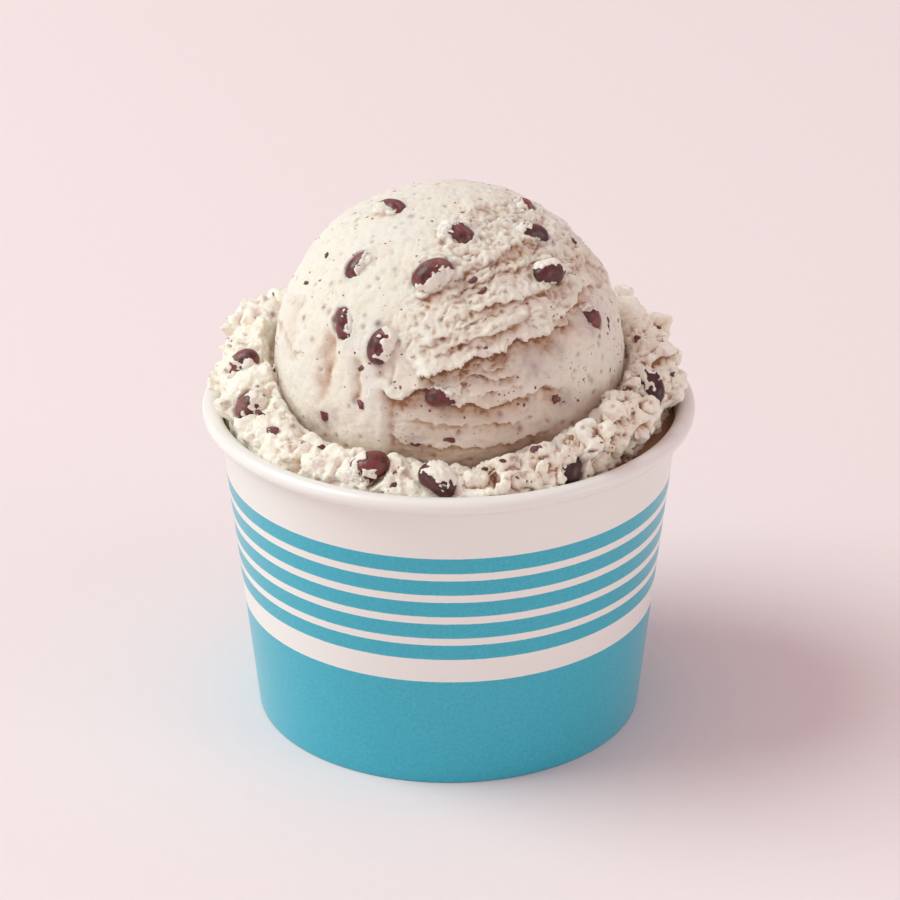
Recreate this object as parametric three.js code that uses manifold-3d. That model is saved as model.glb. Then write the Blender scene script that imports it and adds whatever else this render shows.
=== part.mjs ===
// A scoop of red bean gelato pressed into a tapered paper cup.
// Millimetres, +Z up. The origin is on the cup's axis, at the plane of its foot.

import * as THREE from "three";
import { mergeVertices } from "three/addons/utils/BufferGeometryUtils.js";
import Module from "manifold-3d";

const wasm = await Module();
wasm.setup();

// ---- Driving dimensions ----

const GAP = 0.3; // clearance between neighbouring solids
const FILL_INSET = 0.1; // more clearance for the fill, whose facets differ from the wall's

const FOOT_RADIUS = 38; // outside of the cup at its foot
const WALL_SLOPE = 0.1088; // how much the radius grows per mm of height
const CUP_HEIGHT = 65.25;
const RIM_RADIUS = 48; // outside of the rolled rim
const PAPERBOARD = 0.5; // thickness of the wall and of the bottom disc
const ROLL_HEIGHT = 3.2; // rolled rim, top to bottom
const ROLL_END = -108; // where the curl of the rim stops, in degrees round the roll
const HEM_HEIGHT = 5; // the wall's lower edge is turned up this far inside
const DISC_HEIGHT = 6; // underside of the bottom disc above the foot
const CUP_SEGMENTS = 48;

const SCOOP_RADIUS = 34.3;
const SCOOP_CENTRE_Z = 73.5;
const SCOOP_FULLNESS = 2.05; // 2 is a true ball, more is fuller at the shoulders
const SCOOP_SETBACK = 0.5; // its even surface lies this far inside SCOOP_RADIUS
const SCOOP_DETAIL = 8;
const SCOOP_LUMP = 0.5;
const SCOOP_LUMP_SIZE = 14;

// Ledges left where the gelato tore: azimuth and elevation of the left end, the same of the
// right end, how far the lip stands out, and how far above it the swelling reaches, in mm.
const LEDGES = [
  [-100, 10, -46, 28, 2.2, 9],
  [-118, 12, -44, 9, 1.6, 7],
  [-108, 34, -30, 52, 1.3, 8],
  [-96, 22, -24, 38, 1.2, 7],
  [-60, 24, 10, 34, 1.1, 8],
  [-122, -3, -42, -2, 1.1, 16],
  [30, 14, 110, 24, 1.4, 9],
  [100, 38, 170, 22, 1.2, 9],
];
const LEDGE_DROP = 1.2; // height over which a lip falls away below

const COLLAR_SEGMENTS = 96;
const COLLAR_CREST_HEIGHT = 75; // of the even profile, before it follows COLLAR_HEIGHTS
const COLLAR_CREST_RADIUS = 39.5;
const COLLAR_CREST_WIDTH = 4.4;
const COLLAR_LUMP = 1.9; // how far the crumbs of the collar stand in and out
const COLLAR_LUMP_SIZE = 4.6;
// Height of the collar round the cup: degrees round the axis, mm above the foot.
const COLLAR_HEIGHTS = [
  [-180, 78], [-165, 75], [-150, 71], [-135, 69], [-110, 67.5], [-90, 66.5], [-70, 67.5], [-55, 70],
  [-45, 72], [-30, 73], [0, 74.5], [15, 77], [45, 76], [90, 75], [130, 77], [160, 79], [180, 78],
];
const RECESS_AZIMUTH = -28; // where the gelato stands away from the wall
const RECESS_SPREAD = 30;
const RECESS_DEPTH = 3.4;
const RECESS_BOTTOM = 57;
const RECESS_AT_CREST = 0.4; // share of the recess that is left at the collar's crest

const BEAN_LENGTH = 7.6;
const BEAN_WIDTH = 5.8;
const BEAN_THICKNESS = 5.2;
const BEAN_DENT = 0.22; // how far the belly of the bean is pulled in

// Beans on the scoop: azimuth, elevation, roll, size against a whole bean, how far out it stands.
const SCOOP_BEANS = [
  [-166, 70, 35, 1.0, 1.5],
  [-84, 66, -20, 0.95, 1.5],
  [-27, 58, -35, 0.95, 1.7],
  [9, 64, -20, 0.9, 1.4],
  [-139, 48, 80, 0.95, 1.5],
  [-98, 50, 35, 1.15, 1.8],
  [-41, 44, -10, 0.95, 1.8],
  [-132, 29, -60, 0.95, 1.5],
  [-114, 25, 75, 1.0, 1.6],
  [-28, 25, -50, 0.9, 1.9],
  [-92, 11, 10, 0.9, 1.9],
  [60, 40, 20, 1.0, 1.5],
  [125, 34, 70, 1.0, 1.7],
];

// Beans in the collar: azimuth, radius, height, roll, size.
const COLLAR_BEANS = [
  [-172, 40.2, 74.2, 75, 1.0],
  [-158.5, 40.9, 69.6, 65, 0.95],
  [-112, 39.6, 66.6, 40, 1.15],
  [-93, 41.2, 66.4, -35, 1.1],
  [-57, 41.6, 66.0, 70, 1.0],
  [-17, 40.6, 72.4, 60, 1.0],
  [70, 40.5, 74.6, 20, 1.0],
  [125, 40.5, 75.6, -30, 1.0],
];

// ---- Materials ----

const paper = new THREE.MeshStandardMaterial({ color: "#f3eeea", roughness: 0.45, metalness: 0 });
const board = new THREE.MeshStandardMaterial({ color: "#ece6df", roughness: 0.7, metalness: 0 });
const cream = new THREE.MeshStandardMaterial({ color: "#ece3d5", roughness: 0.55, metalness: 0 });
const bean = new THREE.MeshStandardMaterial({ color: "#5b2b2b", roughness: 0.3, metalness: 0 });

// ---- Small helpers ----

const { degToRad, radToDeg, lerp, smoothstep } = THREE.MathUtils;

function wallRadius(z) {
  return FOOT_RADIUS + WALL_SLOPE * z;
}

// A repeatable value from -1 to 1 for each corner of a grid.
function gridValue(x, y, z) {
  const wave = Math.sin(x * 127.1 + y * 311.7 + z * 74.7) * 43758.5453;
  return 2 * (wave - Math.floor(wave)) - 1;
}

// Soft lumps: the grid values blended between their corners.
function lumps(point, size) {
  const [x, y, z] = [point.x / size, point.y / size, point.z / size];
  const [i, j, k] = [Math.floor(x), Math.floor(y), Math.floor(z)];
  const [u, v, w] = [smoothstep(x - i, 0, 1), smoothstep(y - j, 0, 1), smoothstep(z - k, 0, 1)];
  const edge = (b, c) => lerp(gridValue(i, j + b, k + c), gridValue(i + 1, j + b, k + c), u);
  const face = (c) => lerp(edge(0, c), edge(1, c), v);
  return lerp(face(0), face(1), w);
}

function direction(azimuth, elevation) {
  const [a, e] = [degToRad(azimuth), degToRad(elevation)];
  return new THREE.Vector3(Math.cos(e) * Math.cos(a), Math.cos(e) * Math.sin(a), Math.sin(e));
}

// The shape with its seams welded and its flat slivers taken out.
function welded(geometry) {
  geometry.deleteAttribute("normal");
  geometry.deleteAttribute("uv");
  const merged = mergeVertices(geometry, 1e-4);
  const index = Array.from(merged.index.array);
  const kept = [];
  for (let t = 0; t < index.length; t += 3) {
    const [a, b, c] = index.slice(t, t + 3);
    if (a !== b && b !== c && c !== a) kept.push(a, b, c);
  }
  merged.setIndex(kept);
  return merged;
}

function toSolid(geometry) {
  const merged = welded(geometry);
  const vertProperties = new Float32Array(merged.attributes.position.array);
  const triVerts = new Uint32Array(merged.index.array);
  return new wasm.Manifold(new wasm.Mesh({ numProp: 3, vertProperties, triVerts }));
}

function toGeometry(solid) {
  const mesh = solid.getMesh();
  const geometry = new THREE.BufferGeometry();
  geometry.setAttribute("position", new THREE.BufferAttribute(mesh.vertProperties, 3));
  geometry.setIndex(new THREE.BufferAttribute(mesh.triVerts, 1));
  geometry.computeVertexNormals();
  return geometry;
}

function cutAway(solid, cutters) {
  return cutters.reduce((body, cutter) => body.subtract(cutter), solid);
}

// A turned shape whose profile is given as [radius, height] pairs.
function turned(profile, segments) {
  const points = profile.map(([radius, height]) => new THREE.Vector2(radius, height));
  return new THREE.LatheGeometry(points, segments).rotateX(Math.PI / 2);
}

function moveVertices(geometry, move) {
  const position = geometry.attributes.position;
  const point = new THREE.Vector3();
  for (let i = 0; i < position.count; i++) {
    move(point.fromBufferAttribute(position, i));
    position.setXYZ(i, point.x, point.y, point.z);
  }
  return geometry;
}

function part(name, geometry, material) {
  const mesh = new THREE.Mesh(geometry, material);
  mesh.name = name;
  return mesh;
}

// ---- The paper cup ----

// Points round the rolled rim's cross-section, an ellipse that touches the wall's inside.
function rollArc(inset, fromDegrees, toDegrees, steps) {
  const inside = wallRadius(CUP_HEIGHT - ROLL_HEIGHT / 2) - PAPERBOARD;
  const halfWidth = (RIM_RADIUS - inside) / 2;
  const points = [];
  for (let i = 0; i <= steps; i++) {
    const angle = degToRad(lerp(fromDegrees, toDegrees, i / steps));
    const radius = RIM_RADIUS - halfWidth + (halfWidth - inset) * Math.cos(angle);
    const height = CUP_HEIGHT - ROLL_HEIGHT / 2 + (ROLL_HEIGHT / 2 - inset) * Math.sin(angle);
    points.push([radius, height]);
  }
  return points;
}

// One sheet of paperboard: curled out at the rim, and turned up inside at the foot to form
// a slot that holds the flange of the bottom disc.
function cupWall() {
  const slot = PAPERBOARD + 2 * GAP;
  const hemOutside = (z) => wallRadius(z) - PAPERBOARD - slot;
  const profile = [
    [wallRadius(0), 0],
    ...rollArc(PAPERBOARD, 180, ROLL_END, 6),
    ...rollArc(0, ROLL_END, 180, 8),
    [wallRadius(PAPERBOARD) - PAPERBOARD, PAPERBOARD],
    [hemOutside(PAPERBOARD), PAPERBOARD],
    [hemOutside(HEM_HEIGHT), HEM_HEIGHT],
    [hemOutside(HEM_HEIGHT) - PAPERBOARD, HEM_HEIGHT],
    [hemOutside(0) - PAPERBOARD, 0],
    [wallRadius(0), 0],
  ];
  return turned(profile, CUP_SEGMENTS);
}

// The bottom disc, with its edge folded down into the wall's slot.
function cupBase() {
  const flangeOutside = (z) => wallRadius(z) - PAPERBOARD - GAP;
  const flangeFoot = PAPERBOARD + GAP;
  const top = DISC_HEIGHT + PAPERBOARD;
  const profile = [
    [0, DISC_HEIGHT],
    [flangeOutside(DISC_HEIGHT) - PAPERBOARD, DISC_HEIGHT],
    [flangeOutside(flangeFoot) - PAPERBOARD, flangeFoot],
    [flangeOutside(flangeFoot), flangeFoot],
    [flangeOutside(top), top],
    [0, top],
  ];
  return turned(profile, CUP_SEGMENTS);
}

// ---- The scoop ----

// A ledge runs along the great circle between its ends. Above it the surface swells towards
// the lip, and below it falls away at once.
function ledgeLift(unit, [azimuthA, elevationA, azimuthB, elevationB, height, reach]) {
  const left = direction(azimuthA, elevationA);
  const right = direction(azimuthB, elevationB);
  const up = left.clone().cross(right).normalize();
  const middle = left.clone().add(right).normalize();
  const along = Math.atan2(unit.dot(up.clone().cross(middle)), unit.dot(middle));
  const half = left.angleTo(right) / 2;
  const ends = 1 - smoothstep(Math.abs(along), 0.75 * half, 1.1 * half);
  const above = unit.dot(up) * SCOOP_RADIUS;
  const lip = smoothstep(above, -LEDGE_DROP, 0) * Math.exp(-Math.max(above, 0) / reach);
  return height * ends * lip;
}

function scoopReach(unit) {
  const level = Math.hypot(unit.x, unit.y);
  const power = SCOOP_FULLNESS;
  const full = Math.pow(Math.pow(level, power) + Math.pow(Math.abs(unit.z), power), -1 / power);
  const soft = SCOOP_LUMP * lumps(unit.clone().multiplyScalar(SCOOP_RADIUS), SCOOP_LUMP_SIZE);
  const torn = LEDGES.reduce((sum, ledge) => sum + ledgeLift(unit, ledge), 0);
  return SCOOP_RADIUS * full - SCOOP_SETBACK + soft + torn;
}

// The ball of gelato, grown by a clearance when it is used to cut its own seat.
function scoopBall(clearance) {
  const ball = new THREE.IcosahedronGeometry(1, SCOOP_DETAIL);
  moveVertices(ball, (point) => {
    point.normalize();
    point.multiplyScalar(scoopReach(point) + clearance);
    point.z += SCOOP_CENTRE_Z;
  });
  return ball;
}

// ---- The packed gelato and its ragged collar ----

function collarHeight(azimuth) {
  const next = COLLAR_HEIGHTS.findIndex(([angle]) => angle >= azimuth);
  const [toAngle, toHeight] = COLLAR_HEIGHTS[Math.max(next, 1)];
  const [fromAngle, fromHeight] = COLLAR_HEIGHTS[Math.max(next, 1) - 1];
  const blend = smoothstep(azimuth, fromAngle, toAngle);
  return lerp(fromHeight, toHeight, blend);
}

function recess(azimuth) {
  const away = Math.abs(azimuth - RECESS_AZIMUTH);
  return RECESS_DEPTH * (1 - smoothstep(away, RECESS_SPREAD * 0.3, RECESS_SPREAD));
}

// The packed gelato's section, with an even collar. The part under the scoop is cut away later.
function packedProfile(rim) {
  const floor = DISC_HEIGHT + PAPERBOARD + GAP;
  const inside = (z) => wallRadius(z) - PAPERBOARD - GAP - FILL_INSET;
  const partWay = (share) => lerp(rim, COLLAR_CREST_HEIGHT, share);
  return [
    [0, floor],
    [inside(floor), floor],
    [inside(RECESS_BOTTOM), RECESS_BOTTOM],
    [inside(rim), rim],
    [inside(rim) - FILL_INSET, partWay(0.45)],
    [COLLAR_CREST_RADIUS + COLLAR_CREST_WIDTH / 2, partWay(0.85)],
    [COLLAR_CREST_RADIUS - COLLAR_CREST_WIDTH / 2, COLLAR_CREST_HEIGHT],
    [SCOOP_RADIUS, partWay(0.85)],
    [SCOOP_RADIUS - 5, partWay(0.8)],
    [0, rim],
  ];
}

// Fills the cup to its wall. Above the rim it stands up round the scoop as a crumbly collar.
function packedGelato() {
  const rim = CUP_HEIGHT - ROLL_HEIGHT;
  const body = turned(packedProfile(rim), COLLAR_SEGMENTS);
  return moveVertices(body, (point) => {
    const radius = Math.hypot(point.x, point.y);
    if (point.z <= RECESS_BOTTOM || radius < SCOOP_RADIUS - 6) return;
    const azimuth = radToDeg(Math.atan2(point.y, point.x));
    const above = Math.max(point.z - rim, 0) / (COLLAR_CREST_HEIGHT - rim);
    const height = lerp(rim, collarHeight(azimuth), above);
    const lump = COLLAR_LUMP * lumps(point, COLLAR_LUMP_SIZE);
    const shove = above > 0.2 ? lump : -Math.abs(lump) * above;
    const outer = smoothstep(radius, SCOOP_RADIUS, COLLAR_CREST_RADIUS);
    const sunk = recess(azimuth) * lerp(1, RECESS_AT_CREST, above);
    const share = (radius + outer * shove - sunk) / radius;
    point.set(point.x * share, point.y * share, height + above * lump);
  });
}

// ---- Red beans ----

// A kidney shaped bean, its length along X and its back towards +Z.
function beanShape(size, clearance) {
  const shape = new THREE.SphereGeometry(1, 8, 5);
  return moveVertices(shape, (point) => {
    const belly = Math.max(-point.y, 0) * (1 - Math.min(1, Math.abs(point.x) * 1.4));
    point.y += BEAN_DENT * belly;
    point.x *= (size * BEAN_LENGTH) / 2 + clearance;
    point.y *= (size * BEAN_WIDTH) / 2 + clearance;
    point.z *= (size * BEAN_THICKNESS) / 2 + clearance;
  });
}

// Lays a bean at a point with its back facing outward, turned about that direction by roll.
function laid(shape, place, outward, roll) {
  const side = new THREE.Vector3(0, 0, 1).cross(outward).normalize();
  const up = outward.clone().cross(side);
  const basis = new THREE.Matrix4().makeBasis(side, up, outward);
  basis.multiply(new THREE.Matrix4().makeRotationZ(degToRad(roll)));
  return shape.applyMatrix4(basis.setPosition(place));
}

function scoopBean([azimuth, elevation, roll, size, proud], clearance) {
  const outward = direction(azimuth, elevation);
  const depth = scoopReach(outward) + proud - (size * BEAN_THICKNESS) / 2;
  const place = outward.clone().multiplyScalar(depth);
  place.z += SCOOP_CENTRE_Z;
  return laid(beanShape(size, clearance), place, outward, roll);
}

function collarBean([azimuth, radius, height, roll, size], clearance) {
  const place = direction(azimuth, 0).multiplyScalar(radius).setZ(height);
  return laid(beanShape(size, clearance), place, direction(azimuth, 40), roll);
}

// ---- Assembly ----

const beanShapes = [
  ...SCOOP_BEANS.map((row) => (clearance) => scoopBean(row, clearance)),
  ...COLLAR_BEANS.map((row) => (clearance) => collarBean(row, clearance)),
];
const pockets = beanShapes.map((shape) => toSolid(shape(GAP)));
const scoop = cutAway(toSolid(scoopBall(0)), pockets);
const fill = cutAway(toSolid(packedGelato()), [toSolid(scoopBall(GAP)), ...pockets]);

const gelatoCup = new THREE.Group();
gelatoCup.add(part("cup_wall", cupWall(), paper));
gelatoCup.add(part("cup_base", cupBase(), board));
gelatoCup.add(part("gelato_fill", toGeometry(fill), cream));
gelatoCup.add(part("gelato_scoop", toGeometry(scoop), cream));
beanShapes.forEach((shape, index) => {
  const name = `bean_${String(index + 1).padStart(2, "0")}`;
  gelatoCup.add(part(name, shape(0), bean));
});

export default gelatoCup;
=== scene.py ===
"""Red bean gelato in a printed paper cup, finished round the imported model.

Laid out as an add-on: settings, one operator for each piece or group of like pieces, a
panel that lists them, and main(), which makes everything in order. Shapes are worked out
in millimetres and stored in metres.
"""

import itertools
import math

import bmesh
import bpy
import numpy as np
from bpy.props import FloatProperty, FloatVectorProperty, IntProperty, PointerProperty
from mathutils import Matrix, Vector
from mathutils.bvhtree import BVHTree


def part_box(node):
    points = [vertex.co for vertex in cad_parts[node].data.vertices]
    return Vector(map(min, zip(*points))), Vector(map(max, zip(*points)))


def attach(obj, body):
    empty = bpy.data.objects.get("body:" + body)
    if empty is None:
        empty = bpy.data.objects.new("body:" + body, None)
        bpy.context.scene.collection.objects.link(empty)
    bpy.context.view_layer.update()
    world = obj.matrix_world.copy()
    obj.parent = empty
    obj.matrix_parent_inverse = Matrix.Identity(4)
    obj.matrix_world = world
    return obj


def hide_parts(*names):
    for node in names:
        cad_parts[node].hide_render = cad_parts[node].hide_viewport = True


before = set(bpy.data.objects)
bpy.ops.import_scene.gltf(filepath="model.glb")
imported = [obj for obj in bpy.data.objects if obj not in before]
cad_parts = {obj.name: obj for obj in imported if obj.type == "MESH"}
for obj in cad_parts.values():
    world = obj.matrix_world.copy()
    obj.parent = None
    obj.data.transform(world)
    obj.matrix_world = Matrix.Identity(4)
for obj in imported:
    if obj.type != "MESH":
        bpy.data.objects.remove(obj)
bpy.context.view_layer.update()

bl_info = {
    "name": "Gelato cup",
    "version": (1, 0, 0),
    "blender": (4, 5, 0),
    "location": "3D View > Sidebar > Gelato",
    "description": "Red bean gelato scooped into a printed paper cup",
    "category": "Object",
}

MM = 0.001


def linear(hex_colour):
    """An sRGB hex colour as the linear values that shaders and lights take."""
    channels = [int(hex_colour[i:i + 2], 16) / 255 for i in (1, 3, 5)]
    return tuple(c / 12.92 if c <= 0.04045 else ((c + 0.055) / 1.055) ** 2.4 for c in channels)


# ---------------------------------------------------------------------------
# What the frame says, in millimetres
# ---------------------------------------------------------------------------

def node_points(node):
    """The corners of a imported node's mesh."""
    return read_points(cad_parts[node].data) / MM


def read_points(mesh):
    flat = np.empty(len(mesh.vertices) * 3)
    mesh.vertices.foreach_get("co", flat)
    return flat.reshape(-1, 3)


def radius_at_foot():
    points = node_points("cup_wall")
    foot = points[points[:, 2] < 0.1]
    return float(np.hypot(foot[:, 0], foot[:, 1]).max())


_, wall_high = (np.array(corner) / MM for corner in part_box("cup_wall"))
_, base_high = (np.array(corner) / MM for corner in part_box("cup_base"))

FOOT_RADIUS = radius_at_foot()
RIM_RADIUS = float(wall_high[0])
CUP_HEIGHT = float(wall_high[2])
FLOOR_HEIGHT = float(base_high[2])
SCOOP_RADIUS = 34.3
RELIEF_ROOM = 0.35  # how far the scoop's surface is drawn in before its relief is added
SCOOP_LIFT = 8.25  # from the rim up to the scoop's centre
SCOOP_CENTRE = np.array([0.0, 0.0, CUP_HEIGHT + SCOOP_LIFT])
BEANS = sorted(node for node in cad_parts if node.startswith("bean_"))

WALL_SLOPE = 0.1088  # how much the wall's radius grows per mm of height
ROLL_HEIGHT = 3.2  # the rolled rim, top to bottom
ROLL_END = -108  # where the curl stops, in degrees round the roll
HEM_HEIGHT = 5.0  # how far the wall is turned up inside its foot
CLEARANCE = 0.3  # between sheets of paperboard that lie side by side
PACK_TOP = 57.0  # the smooth packed gelato is hidden up to here
PACKED_INSET = 0.4  # how far inside the wall's outer radius it stays
RECESS_FLOOR = 61.0  # it shows at this height between the collar and the wall
COLLAR_INSET = 0.42  # how far inside the wall's outer radius the collar stays
LOWEST_CRUMB = 59.5  # no crumb is put below this height

# Printed bands round the wall: lower and upper edge above the foot.
BANDS = [(0.0, 23.6), (28.7, 31.95), (33.5, 36.75), (38.35, 41.6), (43.2, 46.4), (48.0, 51.3)]

# ---------------------------------------------------------------------------
# The scoop's torn face, drawn in its own plane
# ---------------------------------------------------------------------------
# Each face looks outward at an azimuth and is tipped up by FACE_TILT. A point in it is
# (right, up) in mm from the scoop's centre.

FACE_TILT = 25.3
FRONT = -90
BACK = 82
LEFT = 178

# Ledges: face, line of the lip from left to right, how far the lip stands out, how far
# above it the swelling reaches, and how far the lip hangs over.
LEDGES = [
    (FRONT, [(-6, -4.5), (-3, -3), (1, -1.7), (4.5, -0.3), (7.5, 0.1), (11, 1.7), (14, 2.7),
             (16.7, 3.6), (19.2, 4.9), (21, 6.4), (22, 8.4)], 2.5, 4.5, 1.5),
    (FRONT, [(-12.6, -6.5), (-10.6, -8.2), (-8, -7.6), (-6, -6.3), (-3, -7), (1.2, -9.4),
             (4.3, -9), (7.4, -9.6), (11, -8.8), (14.2, -7), (17.3, -5.8), (19.8, -6.5),
             (24, -7)], 1.8, 3.2, 1.1),
    (FRONT, [(-9.5, -12.3), (-5, -13.6), (1, -13.8), (7.4, -13.7), (11, -13.6), (15, -12.4)],
     0.6, 2.2, 0.3),
    (FRONT, [(-11.5, -15.8), (-8.7, -16.8), (-5, -17.8), (1, -18.1), (7.4, -17.6),
             (13.6, -16.7), (20, -15)], 0.8, 4.0, 0.3),
    (FRONT, [(-6, 10.6), (-2.5, 12), (1.2, 14), (5, 16), (9.3, 18.4), (14, 21), (18, 22)],
     1.1, 3.0, 0.7),
    (FRONT, [(-1.5, 10.4), (4.3, 12.6), (9.3, 15), (13.6, 17), (18, 18.2), (23, 18.6)],
     0.9, 2.6, 0.6),
    (FRONT, [(1.5, 6.2), (7.4, 8.8), (12.3, 9.8), (17.4, 11.8), (22, 14.6)], 1.0, 2.4, 0.7),
    (FRONT, [(-6, 0.4), (0, 3.3), (5, 6), (8, 8.4)], 0.7, 2.6, 0.5),
    (FRONT, [(-3, -0.6), (3, 2.4), (9, 4.6), (15, 7.4)], 0.8, 2.2, 0.5),
    (FRONT, [(0, -3.4), (4, -2.6), (8, -2.8), (11, -1.4)], 0.9, 1.6, 0.6),
    (FRONT, [(-5, -4.8), (0, -5.4), (4, -4.5), (8, -4.9), (13, -3.2)], 1.0, 1.8, 0.6),
    (FRONT, [(3, -7), (8, -7.2), (13, -5.4)], 0.7, 1.6, 0.4),
    (FRONT, [(18, 5), (21.8, 8.4), (24, 11.2), (27, 14.6)], 1.4, 2.8, 0.7),
    (FRONT, [(24, 19.5), (28, 17.8), (31, 14)], 1.0, 2.4, 0.4),
    (FRONT, [(3, 26.4), (7.5, 28), (12, 29.4)], 0.6, 2.4, 0.3),
    (BACK, [(-20, 2), (-12, 5), (-4, 5.4), (5, 9), (14, 10)], 1.6, 4.2, 0.8),
    (BACK, [(-16, 8), (-6, 11), (2, 12), (12, 14)], 0.9, 3.0, 0.5),
    (BACK, [(-22, -9), (-12, -7.4), (-2, -8), (10, -5), (20, -4.6)], 1.0, 3.6, 0.5),
    (LEFT, [(4, -6), (10, -4), (18, -5)], 0.6, 4.0, 0.3),
]

# Torn patches: face, centre, half width, half height, slope of the ridges in degrees.
PATCHES = [
    (FRONT, (11.5, 10.5), 27.0, 21.0, 27),
    (BACK, (0.0, 3.0), 21.0, 14.0, 18),
]
SMOOTH_EDGE = [(-13.6, -4.4), (-11.1, 2.3), (-8.0, 9.1), (-5.0, 15.4), (-1.9, 21.7),
               (4.4, 27.7), (10.8, 30.8)]  # left of this line the front is smooth

# Soft hollows pressed into the smooth side: face, line, depth, half width.
GROOVES = [
    (FRONT, [(-21.4, 4.6), (-22.8, 0.5), (-23.6, -4), (-24.2, -11)], 1.2, 1.4),
    (FRONT, [(-17.6, -0.4), (-17.2, -4.2), (-17.2, -7.5), (-17.8, -11)], 0.7, 1.0),
    (FRONT, [(-15, 0), (-13, -3), (-12.4, -6)], 0.5, 1.2),
    (FRONT, [(-28.5, 12), (-30, 6), (-31, -2)], 0.5, 1.6),
    (BACK, [(20, 20), (24, 10), (25, 0)], 0.9, 1.8),
    (LEFT, [(-2, 10), (-4, 2), (-3, -6)], 0.6, 1.4),
]
STEP_BACK = 1.2  # how far the front is stepped back below the lower ledge

# How each bean shows: share of it that gelato is drawn over, and the side that is covered,
# in degrees as seen from the front, 0 rightward.
BEAN_COVERS = {
    "bean_01": (0.42, -110), "bean_02": (0.6, 150), "bean_03": (0.3, 200),
    "bean_04": (0.36, -130), "bean_05": (0.4, -10), "bean_06": (0.38, -60),
    "bean_07": (0.68, 80), "bean_08": (0.36, -5), "bean_09": (0.5, 0),
    "bean_10": (0.42, 100), "bean_11": (0.58, 50), "bean_12": (0.3, 60),
    "bean_13": (0.3, 160), "bean_14": (0.35, -60), "bean_15": (0.45, 0),
    "bean_16": (0.56, -150), "bean_17": (0.5, 50), "bean_18": (0.58, 100),
    "bean_19": (0.4, 170), "bean_20": (0.3, 60), "bean_21": (0.3, 160),
}
SUNK_BEANS = BEANS[13:]  # in the collar, not the scoop

# Beans given painted shade because they lie in shadow, and how far each is mixed towards a darker
# copy of the skin's edge colour.
BEANS_IN_PAINTED_SHADE = {"bean_03": 0.6, "bean_07": 0.5, "bean_17": 0.6, "bean_18": 0.9, "bean_19": 0.8}

# Mauve blotches where beans lie just under the surface: face, right, up, radius, strength.
BLOTCHES = [
    (FRONT, 16, -2.6, 3.6, 0.4), (FRONT, 21.5, -8.8, 2.6, 0.5), (FRONT, 20, 0.5, 2.4, 0.4),
    (FRONT, -23.7, -12.4, 2.4, 0.6), (FRONT, -1, -9.5, 3.0, 0.3), (FRONT, 4, 22.5, 2.0, 0.4),
    (FRONT, 26.5, 6, 2.6, 0.5), (FRONT, -6, -17.5, 2.4, 0.35), (FRONT, 2.6, 12.6, 2.2, 0.4),
    (BACK, -14, 12, 2.5, 0.4), (BACK, 8, 2, 3.0, 0.3), (LEFT, -12, 6, 2.4, 0.4),
]

# Small broken beans: face, right, up, length, width, roll.
FRAGMENTS = [
    (FRONT, 4.5, 13.4, 1.7, 1.1, 20), (FRONT, 6.4, 11.3, 2.2, 1.2, 60),
    (FRONT, 20.6, 15.2, 2.0, 1.6, -50), (FRONT, 30.6, 5.4, 3.4, 0.7, 75),
    (FRONT, -23.7, -11.9, 2.6, 2.0, 60), (FRONT, -16.6, -9.9, 2.2, 1.5, -60),
    (FRONT, 20.8, -9.1, 2.4, 1.8, 30), (FRONT, 0.4, -17.2, 2.6, 0.9, -10),
    (FRONT, -6.5, -17.9, 2.2, 0.9, 10), (FRONT, 8.6, -17.3, 1.7, 0.8, 0),
    (FRONT, -16.6, -3.2, 1.7, 1.2, 50), (FRONT, 23.8, 21.8, 3.2, 1.2, -50),
    (FRONT, 22.0, 5.6, 1.8, 1.2, 60), (FRONT, -27.5, 13.5, 1.4, 0.9, 50),
    (BACK, -14, 12, 2.4, 1.4, 30), (BACK, 5, -2, 2.2, 1.3, -20), (BACK, 15, 15, 1.8, 1.2, 70),
    (BACK, -22, -2, 2.6, 1.2, 10), (LEFT, -12, 6, 2.0, 1.2, 60), (LEFT, 8, 12, 1.8, 1.0, -40),
]

# Broken beans in the collar: degrees round the axis, radius, length, width, roll.
COLLAR_FRAGMENTS = [
    (172, 43.2, 4.6, 2.4, 70), (-150, 41.5, 2.4, 1.2, 0), (-143, 41.5, 3.0, 1.5, 20),
    (7, 37.6, 3.0, 1.2, 30), (3, 41.0, 2.2, 1.0, 10), (12, 41.5, 2.2, 1.0, -20),
    (-6, 43.4, 2.2, 1.3, 40), (-66, 40.0, 2.6, 1.6, 20), (-36, 39.4, 1.8, 0.9, 60),
    (-128, 38.6, 1.8, 1.0, -30), (-80, 38.4, 1.5, 0.9, 10), (-104, 42.0, 1.8, 1.0, 50),
    (45, 40.0, 2.8, 1.6, 20), (88, 42.0, 2.4, 1.4, 70), (105, 38.5, 2.0, 1.0, 0),
    (125, 37.5, 2.6, 1.5, -30),
]

# Colours that no setting changes.
# Darkest painted shade, where the painted shade is strongest, as in the shadow under the ledges'
# lips.
DEEPEST_PAINTED_SHADE = linear("#8c6648")
FINE_SPECKS = linear("#8a6256")
CLOUDED_SKIN = linear("#9c7674")
DRIED_CREAM = linear("#f0eade")

# Soft round lights: name, place from the middle of the rim and width in metres, and share of
# the key light's watts.
LIGHTS = [
    ("key", (-1.47, 0.03, 1.64), 1.6, 1),
    ("fill", (1.9, -0.9, 0.35), 1.2, 0.25),
    ("side", (-1.9, -0.95, 0.0), 1.0, 0.2),
]
LIGHT_COLOUR = (0.82, 1.0, 0.97)
SURROUND_COLOUR = (1, 0.75, 0.77, 1)

# The camera looks at CAMERA_AIM, straight on in azimuth and from a little above.
CAMERA_AIM = (0.24, 0, CUP_HEIGHT - 11.94)
CAMERA_DISTANCE = 784.2
CAMERA_ELEVATION = 25.27
LENS = 160
SENSOR_WIDTH = 36


# ---------------------------------------------------------------------------
# Settings
# ---------------------------------------------------------------------------

def colour_setting(name, description, hex_colour):
    return FloatVectorProperty(
        name=name, description=description, subtype="COLOR", size=3, min=0, max=1,
        default=linear(hex_colour))


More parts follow.
